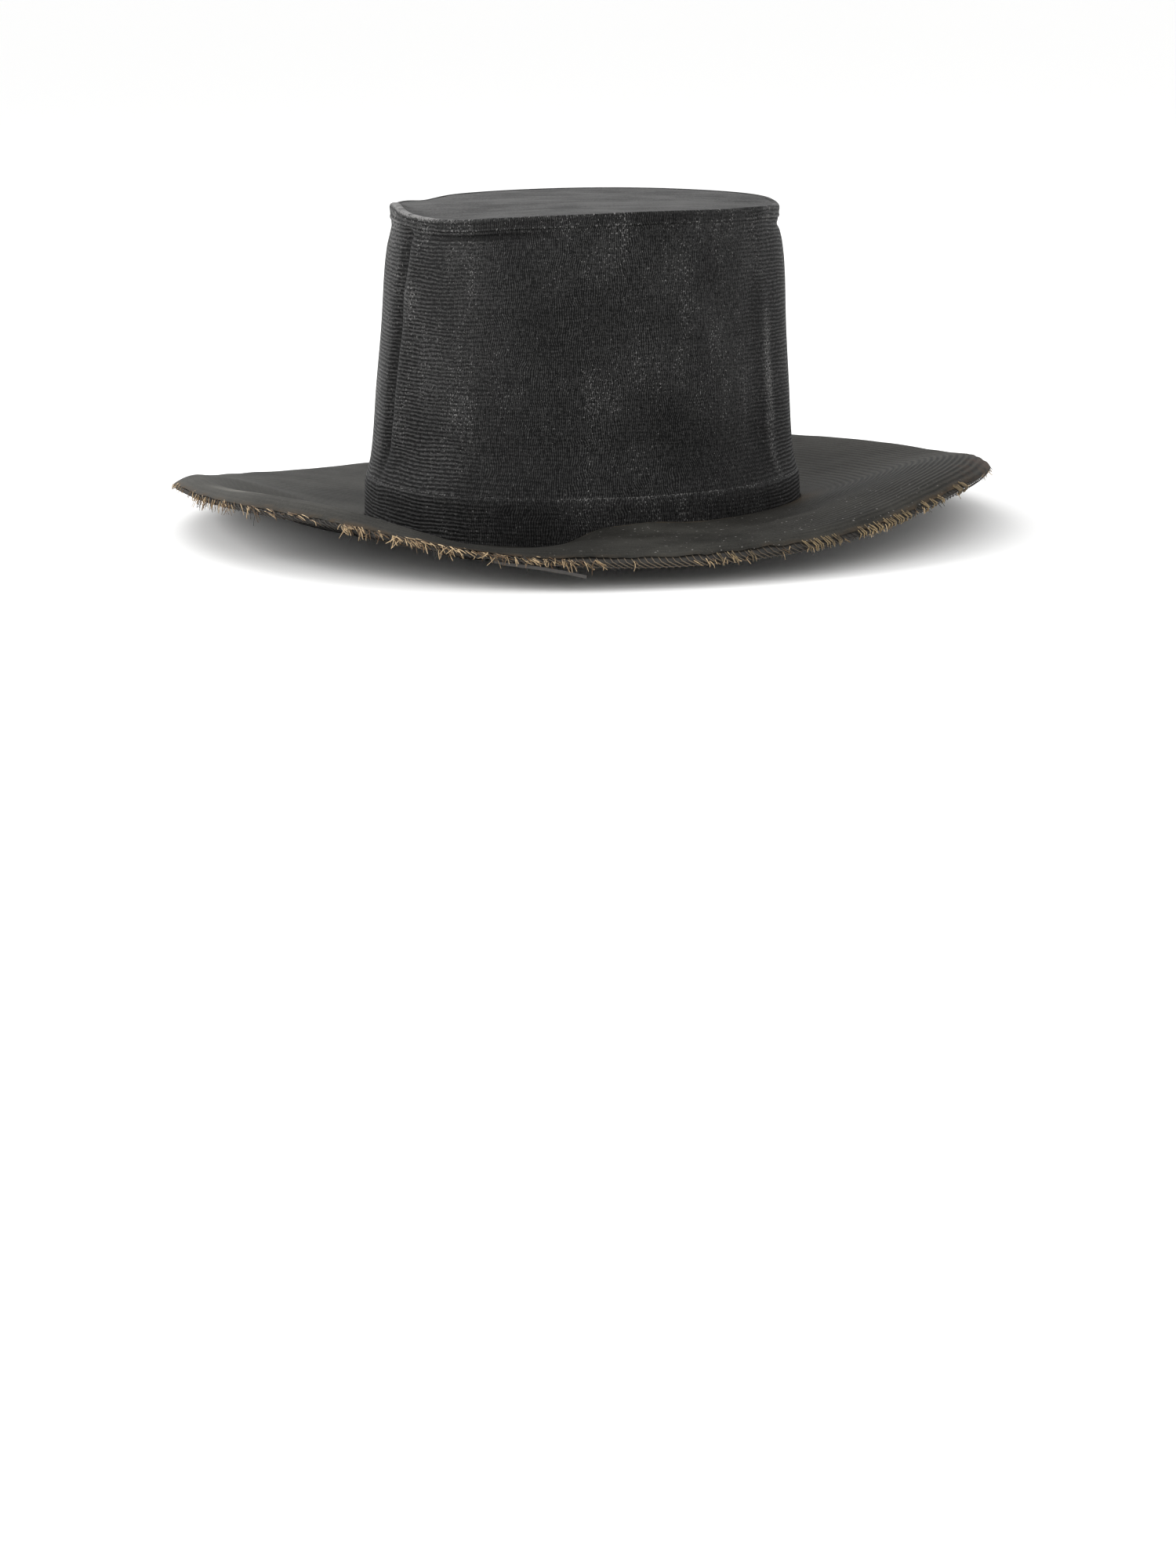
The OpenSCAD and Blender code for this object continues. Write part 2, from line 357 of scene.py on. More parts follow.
def horsehair(name, dark, mid, worn, rubbed):
    """Lacquered weave: weft ribs that lie round the hat, crossed by finer upright hairs. The
    ribs stand out most at the two sides, and the front shows more of the upright hairs. A
    painted shadow darkens the groove under the edge strip at the front left, and painted
    shade darkens the crease."""
    f = Finish(name, Specular_IOR_Level=0.1)
    flat = f.flat()
    angle, _, z = f.around(flat)
    arc = angle * foot_r
    drift = f.cloud(f.vector(arc * 0.05, z * 0.1, 3.0), 1.0, 2.0)
    sides = f.near(angle, -165, 58) + f.near(angle, 0, 50)
    front_foot = f.near(angle, -140, 34) * f.band(z, 50.0, 12.0)
    ribbing = f.math("MINIMUM", 0.16 + sides + front_foot * 0.6, 1.0)
    rib = f.wave(z + drift * 2.6, rib_pitch)
    hair = f.wave(arc + drift * 6.0, hair_pitch)
    grains = f.cloud(f.vector(arc * 1.25, z * 1.45, 0.0), 1.0, 2.0, 0.8)
    dashes = f.cloud(f.vector(arc * 0.5, z * 1.4, 7.0), 1.0, 2.0, 0.75)
    strokes = f.cloud(f.vector(arc * 1.3, z * 0.3, 21.0), 1.0, 2.0, 0.75)
    patches = f.cloud(flat, 0.03, 3.0, 0.6)
    weft = rib * 0.34 + dashes * 1.1 - 0.11
    warp = hair * 0.34 + strokes * 0.8 + dashes * 0.3 - 0.1
    rub = rubbed(f, angle, z)
    shade = weft * ribbing + warp * (1 - ribbing) + grains * 0.7 - 0.35
    level = f.band(shade + patches * 0.3 - 0.15 + rub * 0.1, 0.46, 0.92)
    colour = f.blend(level, grey(dark), grey(mid, 0.015))
    flecks = f.cloud(f.vector(arc * 1.7, z * 1.0, 11.0), 1.0, 1.0, 0.8)
    streaked = f.cloud(f.vector(arc * 0.16, z * 0.03, 31.0), 1.0, 2.0)
    fleck = f.band(flecks + rub * 0.12 + patches * 0.3 + streaked * 0.3, 0.96, 1.08)
    colour = f.blend(fleck * 0.7, colour, grey(worn, 0.02))
    # Painted shadow: a dark line in the groove under the edge strip at the front left, standing in for the
    # shade cast by the strip's overhang.
    painted_groove_shadow = f.band(f.math("ABSOLUTE", z - (crown_h - 5.4)), 1.7, 0.4)
    colour = f.blend(f.near(angle, -124, 34) * painted_groove_shadow * 0.8, colour, grey(dark * 0.4))
    # Painted shade: a thin dark line down the crease, where shade falls in the fold.
    upright = angle - z * math.radians(crease_slant / crown_h)
    crease = f.near(upright, crease_angle, 2.2) * f.band(z, circle_h, 32.0)
    crease = crease * f.band(z, crown_h - 2.0, crown_h - 10.0)
    colour = f.blend(crease * 0.55, colour, grey(dark * 0.5))
    brown = f.near(angle, -179, 6) * f.band(patches, 0.42, 0.62)
    colour = f.blend(brown * 0.3, colour, (mid * 1.4, mid * 0.95, mid * 0.7, 1))
    height = rib * (0.1 + ribbing * 0.5) + grains * 0.4 + hair * (1 - ribbing) * 0.3
    return f.paint(colour, 0.66 - 0.12 * level, height, 0.3)


def wall_rub(f, angle, z):
    """Where the wall is rubbed grey: its right fold, both sides of the crease, and the top. The
    foot is rubbed least."""
    fold = f.near(angle, -25, 4) * f.band(z, 8.0, 26.0) * f.band(z, 92.0, 70.0) * 1.3
    corner = f.near(angle, -170, 13) * 0.6 + f.near(angle, -148, 9) * 0.3
    top = f.band(z, crown_h - 9, crown_h - 3) * 0.3
    return fold + corner + top - f.band(z, 60.0, 20.0) * 0.3


wall_outline = (
    straight((foot_r, 0), (foot_r, crown_h), 150)
    + straight((foot_r - wall_t, crown_h), (foot_r - wall_t, 0), 24)
)
crown_weave = spun("crown_weave", wall_outline, 300, on_wall)
crown_weave.data.materials.append(horsehair("wall_horsehair", 0.0022, 0.044, 0.24, wall_rub))
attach(crown_weave, "hat")
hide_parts("crown_wall")


# ---- Crown lid and its edge -------------------------------------------------------------
# A thin woven disc closes the crown. A lacquered strip is folded over its edge and down the
# wall, and a split bamboo hoop is sprung into the wall just under it.
lid_t = 0.8
lid_r = foot_r - 10
binding_h = 3.4
hoop_low = 0.94 * crown_h
hoop_high = 0.97 * crown_h


def ear(a):
    """How far the edge is pinched up at the far left."""
    return 1.9 * hump(a, -169, 8)


def lid_point(a, r, z):
    """Point on the lid, which sags a little between its dented edge and its middle."""
    share = r / lid_r
    edge = wall_point(a, 1, 0)
    calm = 1 - (1 - share) ** 1.5
    height = crown_h + 0.6 * (1 - share) + (edge_z(a) - crown_h) * max(0, share - 0.1) / 0.9 * calm
    sag = 0.5 * noise.noise(Vector((edge.x * share / 22, edge.y * share / 22, 4)))
    height += sag * (1 - share ** 4) + ear(a) * ease((share - 0.86) / 0.14)
    return Vector((lean + (edge.x - lean) * share, edge.y * share, height + z))


def dusty_weave(name, dark, light, dust):
    """Close lacquered weave with no ribs, dulled by dust that settled unevenly."""
    f = Finish(name, Specular_IOR_Level=0.18)
    flat = f.flat()
    weave = f.cloud(flat, 1.6, 2.0, 0.6)
    blotch = f.cloud(flat, 0.04, 4.0, 0.62)
    drawn_out = f.add("VectorMath", {"operation": "MULTIPLY"}, {0: flat, 1: (0.05, 0.4, 1.0)})
    streak = f.cloud(drawn_out, 1.0, 3.0)
    speck = f.band(f.cloud(flat, 0.55, 1.0, 0.9), 0.76, 0.8)
    mottle = f.band(blotch * 0.5 + streak * 0.4 + weave * 0.45, 0.55, 0.8)
    colour = f.blend(mottle, grey(dark, 0.03), grey(light, 0.02))
    colour = f.blend(speck * 0.5, colour, grey(dust, 0.06))
    return f.paint(colour, 0.72 - 0.1 * weave, weave * 0.5 + blotch * 0.5, 0.25)


lid_outline = (
    straight((0, lid_t), (lid_r - 0.4, lid_t), 40)
    + [(lid_r - 0.1, lid_t * 0.7), (lid_r - 0.1, 0.1)]
    + straight((lid_r - 0.4, 0), (0, 0), 20)
)
crown_lid = spun("crown_lid", lid_outline, 240, lid_point, closed=False)
crown_lid.data.materials.append(dusty_weave("lid_weave", 0.006, 0.055, 0.2))
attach(crown_lid, "hat")
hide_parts("crown_top")


def on_edge(a, r, z):
    """Point of the edge strip, which follows the wall and the pinched ear."""
    return on_wall(a, r, z) + Vector((0, 0, ear(a) * ease((z - crown_h + 3) / 3)))


binding_outline = [
    (foot_r + 0.03, crown_h - binding_h), (foot_r + 0.4, crown_h - binding_h + 0.1),
    (foot_r + 0.52, crown_h - binding_h + 0.6), (foot_r + 0.36, crown_h - 2.2),
    (foot_r + 0.44, crown_h - 1.3), (foot_r + 0.62, crown_h - 0.5), (foot_r + 0.6, crown_h + 0.2),
    (foot_r + 0.36, crown_h + 0.7), (foot_r - 0.1, crown_h + 0.95), (foot_r - 0.9, crown_h + 1.0),
    (foot_r - 1.7, crown_h + 0.95), (foot_r - 2.1, crown_h + 0.8), (foot_r - 0.6, crown_h + 0.75),
    (foot_r + 0.03, crown_h + 0.3),
]


def edge_rub(f, angle, z):
    """Where the edge strip is rubbed: all along its fold, most at the left and right ends."""
    fold = f.band(z, crown_h - 0.3, crown_h + 0.7) * (0.3 + 1.5 * f.near(angle, -155, 34))
    ends = f.near(angle, -160, 30) + f.near(angle, -6, 26)
    hem = f.band(z, crown_h - 2.2, crown_h - 3.0) * 0.6
    return 0.1 + fold + ends * 0.7 + hem


top_binding = spun("top_binding", binding_outline, 360, on_edge)
top_binding.data.materials.append(horsehair("edge_horsehair", 0.003, 0.034, 0.24, edge_rub))
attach(top_binding, "hat")
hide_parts("crown_top_binding")


def bamboo(name, dark, light, warmth, stain):
    """Split bamboo: long fibres that follow the hoop, nodes now and then, and old lacquer."""
    f = Finish(name, Specular_IOR_Level=0.4)
    angle, radius, z = f.around(f.warped())
    grain = f.cloud(f.vector(angle * 6.0, radius * 4.0, z * 4.0), 1.0, 3.0, 0.65)
    patch = f.cloud(f.vector(angle * 9.0, radius * 0.1, z * 0.1), 1.0, 2.0)
    joint = f.band(f.wave(angle * 60.0 + patch * 14.0, 62.0), 0.992, 0.999)
    colour = f.blend(f.band(grain, 0.3, 0.7), grey(dark, warmth), grey(light, warmth))
    colour = f.blend(f.band(patch, 0.45, 0.7) * stain, colour, grey(dark * 0.4, 0.1))
    colour = f.blend(joint * 0.7, colour, grey(dark * 0.5, 0.1))
    return f.paint(colour, 0.42 + 0.25 * grain, grain * 0.6 + joint, 0.15)


hoop_bamboo = bamboo("hoop_bamboo", 0.11, 0.2, 0.38, 0.45)
inside_r = foot_r - wall_t
top_hoop_outline = [
    (inside_r - 0.05, hoop_low), (inside_r - 0.05, hoop_high),
    (inside_r - 0.35, hoop_high + 0.1), (inside_r - 1.4, hoop_high - 0.2),
    (inside_r - 1.6, hoop_high - 0.6), (inside_r - 1.6, hoop_low + 0.6),
    (inside_r - 1.4, hoop_low + 0.2), (inside_r - 0.35, hoop_low - 0.1),
]
top_hoop = spun("top_hoop", top_hoop_outline, 180, on_wall)
top_hoop.data.materials.append(hoop_bamboo)
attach(top_hoop, "hat")
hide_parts("crown_top_hoop")


# ---- Foot band --------------------------------------------------------------------------
# A strip of the same horsehair, wrapped round the foot of the crown to cover the seam with
# the brim and lacquered on. Its upper edge shows as a fine pale line.
band_h = crown_h * 0.17
band_t = 0.5


def band_rub(f, angle, z):
    """The foot band is rubbed along its upper edge and here and there at the front."""
    return f.band(z, band_h - 0.9, band_h - 0.1) * 0.9 + f.near(angle, -75, 40) * 0.25


foot_band_outline = (
    [(foot_r + band_t - 0.3 * ease((z - 6) / 12), z) for z in range(19)]
    + [(foot_r + 0.15, band_h), (foot_r + 0.03, band_h), (foot_r + 0.03, 0)]
)
foot_band = spun("foot_band", foot_band_outline, 300, on_wall)
foot_band.data.materials.append(horsehair("band_horsehair", 0.002, 0.034, 0.18, band_rub))
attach(foot_band, "hat")
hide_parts("crown_foot_band")


# ---- Brim gauze -------------------------------------------------------------------------
# Lacquered gauze stretched over the brim and folded down at its lip, in one ring. The web's
# hoops print through it as ridges, and round the front it has worn back from the rim.
cover_low, cover_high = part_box("brim_cover")
rim_r = (cover_high.x - cover_low.x) / 2 / mm
brim_start = foot_r + 0.65
lip_w = 9
inner_lift = 2.7
cover_t = 0.3
web_t = 0.8
ring_pitch = 2.3
mid_brim_r = 115
rim_heights = [
    (-189, 8.5), (-180, 13.5), (-165, 20.5), (-140, 20.5), (-123, 19.5), (-110, 15), (-95, 10.5),
    (-82, 8.2), (-65, 9.3), (-48, 13), (-28, 20), (-8, 20.5), (5, 16), (20, 12.5), (50, 10.5),
    (80, 8), (110, 4), (130, 3), (145, 5), (160, 8.5), (180, 13.5),
]
rim_table = {}


def rim_z(a):
    """Height of the rim: both sides sweep up, and the front and back droop."""
    key = round(turned(a), 1)
    if key not in rim_table:
        rim_table[key] = sum(along(rim_heights, turned(key + d)) for d in range(-9, 10, 3)) / 7
    return rim_table[key]


def lip_drop(a):
    """How far the lip hangs below the crest of the brim."""
    return 4 - 3.9 * hump(a, -106, 13.4) - 1.6 * hump(a, -157, 14) - 2 * hump(a, 135, 40)


def foot_z(a):
    """Height of the brim's inner edge, which has come up against the crown at the front."""
    lifted = 6.8 * ease(turned(a + 99) / 16) * ease((60 - turned(a)) / 90)
    return inner_lift + 1.2 * hump(a, -73, 8) + lifted


def brim_z(a, r):
    """Height of the brim's upper face at an angle and a radius."""
    crest_r = rim_r - lip_w
    crest_z = rim_z(a) + lip_drop(a)
    t = (r - brim_start) / (crest_r - brim_start)
    if t >= 1:
        return crest_z - lip_drop(a) * ((r - crest_r) / lip_w) ** 2
    valley = 1.8 * span(a, -95, -25, 25) * math.sin(math.pi * min(1, max(0, t * 1.6)))
    hollow = 7.1 * span(a, -166, -102, 24) * math.sin(math.pi * max(0, t) ** 1.3)
    rise = 0.45 * math.sin(math.pi / 2 * t) + 0.55 * ease(t)
    return foot_z(a) + (crest_z - foot_z(a)) * rise - valley - hollow


def brim_point(a, r, d):
    """Point of the brim at an angle and a radius, d outside its upper face along the normal."""
    tilt = 0 if r <= brim_start + 0.01 else math.atan((brim_z(a, r + 0.4) - brim_z(a, r - 0.4)) / 0.8)
    turn = math.radians(a)
    out = r - d * math.sin(tilt)
    return Vector((out * math.cos(turn), out * math.sin(turn), brim_z(a, r) + d * math.cos(tilt)))


def worn_back(a):
    """How far the gauze has worn back from the rim, with a ragged edge."""
    turn = math.radians(a)
    rag = noise.noise(Vector((math.cos(turn) * 30, math.sin(turn) * 30, 1)))
    shred = noise.noise(Vector((math.cos(turn) * 90, math.sin(turn) * 90, 5)))
    wear = 0.35 + 2.0 * span(a, -93, -62, 10) + 0.9 * span(a, -62, -24, 10)
    wear += 0.5 * span(a, -150, -120, 10)
    return max(0.05, wear * (1 + 0.35 * rag + 0.3 * shred))


def gauze_point(a, r, d):
    """Point of the gauze: the ridges are strongest at the right, and the edge is ragged."""
    turn_in = 10
    if r > rim_r - turn_in:
        r -= worn_back(a) * (r - rim_r + turn_in) / turn_in
    turn = math.radians(a)
    ridge = 0.14 * (0.1 + 0.8 * hump(a, 0, 55)) * ease((r - 84) / 12)
    lump = 0.25 * noise.noise(Vector((math.cos(turn) * r / 14, math.sin(turn) * r / 14, 2)))
    crest = lump + ridge * math.cos(math.tau * r / ring_pitch) if d > -0.2 else lump
    return brim_point(a, r, d + crest * ease((r - brim_start) / 5))


def brim_gauze():
    """Olive grey gauze: ridges with painted shade in their troughs and painted highlights on
    their tops, blotches, pale dust, a brown tint at the rim and the foot, painted light on the
    left side and painted shade at the right and the front, and a crest at the front left that
    is rubbed pale and carries a painted highlight, with painted shade behind it."""
    f = Finish("brim_gauze", Specular_IOR_Level=0.08)
    flat = f.flat()
    angle, radius, _ = f.around(flat)
    arc = angle * mid_brim_r
    drift = f.cloud(flat, 0.05, 2.0)
    ridge = f.wave(radius + drift * 0.8, ring_pitch)
    ridged = (0.12 + 0.88 * f.near(angle, -4, 62)) * f.band(radius, 84.0, 100.0)
    threads = f.cloud(f.vector(arc * 2.2, radius * 0.8, 0.0), 1.0, 2.0, 0.6)
    rings = f.cloud(f.vector(arc * 0.25, radius * 3.0, 5.0), 1.0, 2.0, 0.6)
    blotch = f.cloud(flat, 0.03, 4.0, 0.6)
    shade = blotch * 0.7 + threads * 0.22 + rings * 0.22
    olive = ((0.014, 0.0135, 0.012, 1), (0.05, 0.0485, 0.043, 1))
    colour = f.blend(f.band(shade, 0.38, 0.78), *olive)
    # Painted light: the left side of the brim, which faces the lamps at the back left, is made paler.
    painted_light_left = f.near(angle, -158, 52)
    colour = f.blend(painted_light_left * 0.4, colour, (0.075, 0.072, 0.064, 1))
    # Painted shade: the right side and the front right of the brim are made darker.
    colour = f.blend(f.near(angle, 5, 85) * 0.7, colour, (0.0125, 0.011, 0.0082, 1))
    # Painted shade: the front of the brim is made darker.
    colour = f.blend(f.near(angle, -100, 26) * 0.65, colour, (0.012, 0.0115, 0.01, 1))
    # Painted shade in the troughs between the ridges, and a painted highlight on the ridge tops.
    colour = f.blend((1 - ridge) * ridged * 0.8, colour, (0.004, 0.004, 0.0035, 1))
    colour = f.blend(ridge * ridged * threads * 0.7, colour, (0.075, 0.07, 0.058, 1))
    # A pale line along the front-left crest: partly rubbed wear, partly a painted highlight where the lit
    # front face turns over the crest.
    crest_line = 138.5 - (angle + math.radians(134)) * 13.75
    off_crest = f.math("ABSOLUTE", radius + drift * 3.0 - crest_line)
    crest_wear_and_highlight = f.near(angle, -140, 20) * f.band(off_crest, 2.2, 0.3)
    # Painted shade: the hollow just behind the front-left crest is darkened.
    painted_shade_behind_crest = f.near(angle, -128, 16) * f.band(f.math("ABSOLUTE", radius - 122.0), 9.0, 3.0)
    colour = f.blend(painted_shade_behind_crest * 0.4, colour, olive[0])
    colour = f.blend(crest_wear_and_highlight * (threads * 0.7 + 0.3), colour, (0.22, 0.21, 0.185, 1))
    edge = f.band(radius + rings * 2.4 + drift * 1.5, rim_r - 0.9, rim_r + 2.2)
    tinted = f.band(f.cloud(flat, 0.12, 3.0, 0.6), 0.38, 0.66)
    sound = 1 - f.near(angle, -78, 34) * 0.8
    colour = f.blend(edge * tinted * sound * 0.7, colour, (0.075, 0.05, 0.028, 1))
    stain = f.near(angle, -2, 32) * f.band(radius + tinted * 5.0, rim_r - 9.0, rim_r - 1.0) * tinted
    colour = f.blend(stain * 0.8, colour, (0.05, 0.026, 0.015, 1))
    welt = f.near(angle, -72, 36) * f.band(radius, brim_start + 1.8, brim_start + 0.7)
    colour = f.blend(welt * tinted * 0.8, colour, (0.085, 0.068, 0.045, 1))
    rust = f.near(angle, -12, 22) * f.band(radius + blotch * 8.0, 97.0, 84.0)
    colour = f.blend(rust * 0.8, colour, (0.042, 0.029, 0.014, 1))
    speck = f.band(f.cloud(flat, 0.6, 1.0, 0.9), 0.69, 0.74) * (0.1 + f.near(angle, -60, 50))
    colour = f.blend(speck * 0.8, colour, grey(0.24, 0.05))
    height = ridge * ridged * 0.7 + threads * 0.25 + rings * 0.25
    return f.paint(colour, 0.7 - 0.12 * threads, height, 0.42)


gauze_outline = (
    straight((brim_start, 0), (rim_r - 0.3, 0), 118)
    + [(rim_r, -0.1), (rim_r, -cover_t + 0.1)]
    + straight((rim_r - 0.3, -cover_t), (brim_start, -cover_t), 24)
)
gauze = spun("gauze_cover", gauze_outline, 360, gauze_point)
gauze.data.materials.append(brim_gauze())
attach(gauze, "hat")
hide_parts("brim_cover")


# ---- Splint web -------------------------------------------------------------------------
# Hair-thin bamboo splints fan out from the crown and turn down over the rim, tied by rings
# of the same splint above and a slanting set below, on a lacquered lining.
web_low = -cover_t - web_t
splint_count = 404
slant_count = 202
ring_radii = [brim_start + 2.2 + ring_pitch * k for k in range(29)]
lining_top = -0.6
lining_under = -0.75


def strands(name, runs, thickness, closed=False):
    """Thin rods along runs of (point in millimetres, share of the thickness)."""
    data = bpy.data.curves.new(name, "CURVE")
    data.dimensions = "3D"
    data.bevel_depth = thickness / 2 * mm
    data.bevel_resolution = 0
    data.use_fill_caps = not closed
    for run in runs:
        spline = data.splines.new("POLY")
        spline.points.add(len(run) - 1)
        for point, (spot, share) in zip(spline.points, run):
            point.co = (*(spot * mm), 1)
            point.radius = share
        spline.use_cyclic_u = closed
    piece = bpy.data.objects.new(name, data)
    bpy.context.collection.objects.link(piece)
    return piece


def splint_finish(name, flaked):
    """Black lacquer over bamboo. It has flaked off the ends that turn down over the rim."""
    f = Finish(name, Specular_IOR_Level=0.4)
    spot = f.warped()
    angle, radius, _ = f.around(spot)
    bits = f.cloud(spot, 0.8, 3.0, 0.7)
    colour = f.blend(f.band(bits, 0.35, 0.7), (0.010, 0.009, 0.008, 1), (0.032, 0.028, 0.023, 1))
    bare = f.band(radius + bits * 2.0, rim_r - 3.4, rim_r - 0.6) * (0.12 + 0.88 * f.near(angle, -79, 26))
    colour = f.blend(bare * flaked, colour, (0.15, 0.115, 0.075, 1))
    return f.paint(colour, 0.5 + 0.25 * bits, bits, 0.1)


lacquered = splint_finish("splint_lacquer", 0.0)
flaked_ends = splint_finish("splint_flaked", 0.7)


def radial_splint(a):
    """One splint from the crown out to the lip, over it, and down its edge."""
    run = [brim_point(a, brim_start + 0.3 + (rim_r - lip_w - brim_start) * j / 11, -0.5) for j in range(12)]
    run += [brim_point(a + 0.35 * j, rim_r - 8 + 2.4 * j, -0.45) for j in range(1, 4)]
    run += [
        brim_point(a + 1.5, rim_r - 0.05, -0.4), brim_point(a + 2.1, rim_r + 0.1, -1.3),
        brim_point(a + 2.7, rim_r, -2.4),
    ]
    return [(p, 1) for p in run]


def slanted_splint(a):
    """One splint under the rings, which turns round the brim as it goes out."""
    radii = [brim_start + 1 + (rim_r - 2 - brim_start) * j / 13 for j in range(14)]
    return [(brim_point(a + 2.2 * j, r, -0.95), 1) for j, r in enumerate(radii)]


radial_runs = [radial_splint(360 * k / splint_count) for k in range(splint_count)]
ring_runs = [[(brim_point(3 * j, r, -0.8), 1) for j in range(120)] for r in ring_radii]
slant_runs = [slanted_splint(360 * k / slant_count) for k in range(slant_count)]
lining_outline = (
    straight((brim_start, lining_top), (rim_r - 0.4, lining_top), 40)
    + straight((rim_r - 0.4, lining_under), (brim_start, lining_under), 40)
)
web_lining = spun("web_lining", lining_outline, 240, brim_point)
splints_radial = strands("splints_radial", radial_runs, 0.42)
web_parts = [
    (splints_radial, flaked_ends),
    (strands("splints_rings", ring_runs, 0.4, closed=True), lacquered),
    (strands("splints_slanted", slant_runs, 0.32), lacquered),
    (web_lining, lacquered),
]
for part, finish in web_parts:
    part.data.materials.append(finish)
    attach(part, "hat")
    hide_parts("brim_web")
math.pi * (rim_r**2 - brim_start**2) * mm * mm


# ---- Rim hoops --------------------------------------------------------------------------
# Two split bamboo hoops under the lip: a wide one where the brim turns down and a narrow one
# along its edge. A splint of the narrow one has broken and sprung out at the front.
upper_r = rim_r - 7.2
upper_outline = [
    (upper_r - 1.6, web_low - 0.05), (upper_r + 1.6, web_low - 0.05),
    (upper_r + 1.9, web_low - 0.35), (upper_r + 1.9, web_low - 0.9),
    (upper_r + 1.6, web_low - 1.2), (upper_r - 1.6, web_low - 1.2),
    (upper_r - 1.9, web_low - 0.9), (upper_r - 1.9, web_low - 0.35),
]
rim_upper = spun("rim_upper", upper_outline, 240, brim_point)
rim_upper.data.materials.append(hoop_bamboo)
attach(rim_upper, "hat")
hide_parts("rim_hoop_upper")

lower_outline = [
    (rim_r - 1.9, web_low - 0.02), (rim_r - 0.7, web_low - 0.02), (rim_r - 0.45, web_low - 0.25),
    (rim_r - 0.4, web_low - 0.7), (rim_r - 0.45, web_low - 0.95), (rim_r - 0.6, web_low - 1.15),
    (rim_r - 1, web_low - 1.15), (rim_r - 1.7, web_low - 0.96), (rim_r - 2.1, web_low - 0.7),
    (rim_r - 2.1, web_low - 0.2),
]
rim_lower = spun("rim_lower", lower_outline, 360, brim_point)
rim_lower.data.materials.append(bamboo("rim_bamboo", 0.009, 0.022, 0.12, 0.5))
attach(rim_lower, "hat")
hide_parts("rim_hoop_lower")

edge_run = [(brim_point(a / 2, rim_r - 0.25, web_low - 1.1), 1) for a in range(-190, -36)]
edge_line = strands("rim_edge_line", [edge_run], 0.34)
edge_line.data.materials.append(bamboo("worn_edge", 0.05, 0.11, 0.1, 0.4))
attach(edge_line, "hat")
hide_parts("rim_hoop_lower")

# From its sound end to its broken tip, in millimetres
sprung_path = [(-29, -143, 9.3), (-25, -144.6, 8.7), (-14, -147.6, 7.6), (-6, -149.2, 6.4), (1, -150.4, 5)]
sprung_splint = strands("sprung_splint", [[(Vector(p), 1) for p in sprung_path]], 0.36)
sprung_splint.data.extrude = 0.42 * mm
sprung_splint.data.twist_mode = "Z_UP"
sprung_splint.data.materials.append(bamboo("grey_bamboo", 0.03, 0.06, 0.08, 0.4))
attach(sprung_splint, "hat")
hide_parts("loose_hoop_end")


# ---- Frayed rim -------------------------------------------------------------------------
# Where the gauze has gone, the bare splint ends have split into straw: matted at the front
# left, short stiff bars at the front right, and a few broken ends along the rest.
fray = random.Random(1806)
# from angle, to angle, number, shortest and longest in mm, lean along the rim, droop, spread
tufts = [
    (-164, -156, 14, 1.5, 3.5, 0.5, 0.7, 0.5),
    (-156, -146, 70, 2.5, 5.5, 0.5, 1.0, 0.4),
    (-146, -138, 16, 3.0, 6.5, 0.7, 1.0, 0.4),
    (-141, -123, 30, 3.0, 7.0, 1.8, 0.15, 0.12),
    (-123, -101, 260, 2.0, 5.0, 0.9, 0.6, 0.75),
    (-101, -88, 95, 1.8, 5.0, 0.8, 0.7, 0.9),
    (-88, -60, 24, 1.5, 3.8, 0.4, 1.0, 0.5),
    (-60, -27, 34, 1.5, 3.6, 0.1, 1.1, 0.6),
    (-27, 8, 40, 0.8, 2.2, 0.2, 0.8, 0.6),
    (8, 172, 130, 0.5, 1.5, 0.4, 0.5, 0.8),
    (172, 197, 85, 0.6, 2.2, 0.3, 0.8, 0.7),
]


def frayed(start, end, count, shortest, longest, lean_along, droop, spread):
    """Strands of one stretch of the rim, gathered into small clumps."""
    clumps = [fray.uniform(start, end) for _ in range(max(3, count // 6))]
    runs = []
    for _ in range(count):
        a = fray.gauss(fray.choice(clumps), 0.5) if fray.random() < 0.45 else fray.uniform(start, end)
        turn = math.radians(a)
        out = Vector((math.cos(turn), math.sin(turn), 0))
        side = Vector((-math.sin(turn), math.cos(turn), 0))
        spot = brim_point(a, rim_r - fray.uniform(0.0, 1.2), fray.uniform(-0.9, 0.1))
        heading = (
            out * fray.uniform(0.15, 0.7) + side * (lean_along + fray.gauss(0, spread))
            + Vector((0, 0, -droop * fray.uniform(0.3, 1.2)))
        ).normalized()
        curl = side * fray.gauss(0, 0.5) + out * fray.gauss(0, 0.25)
        curl += Vector((0, 0, fray.uniform(-0.8, 0.25)))
        step = fray.uniform(shortest, longest) / 4
        run = [(spot, 1)]
        for k in range(4):
            spot = spot + (heading + curl * (k / 4)).normalized() * step
            spot.z = max(spot.z, 0.6)
            run.append((spot, 1 - 0.13 * k))
        runs.append(run)
    return runs


def straw(name, deep, pale):
    """Bare bamboo fibre, paler where it is fresh."""
    f = Finish(name, Specular_IOR_Level=0.4)
    spot = f.warped()
    tone = f.cloud(spot, 0.5, 3.0, 0.7)
    patch = f.cloud(spot, 0.06, 2.0)
    colour = f.blend(f.band(tone * 0.6 + patch * 0.5, 0.38, 0.72), deep, pale)
    return f.paint(colour, 0.6 - 0.1 * tone, tone, 0.05)


all_strands = [run for tuft in tufts for run in frayed(*tuft)]
fray.shuffle(all_strands)
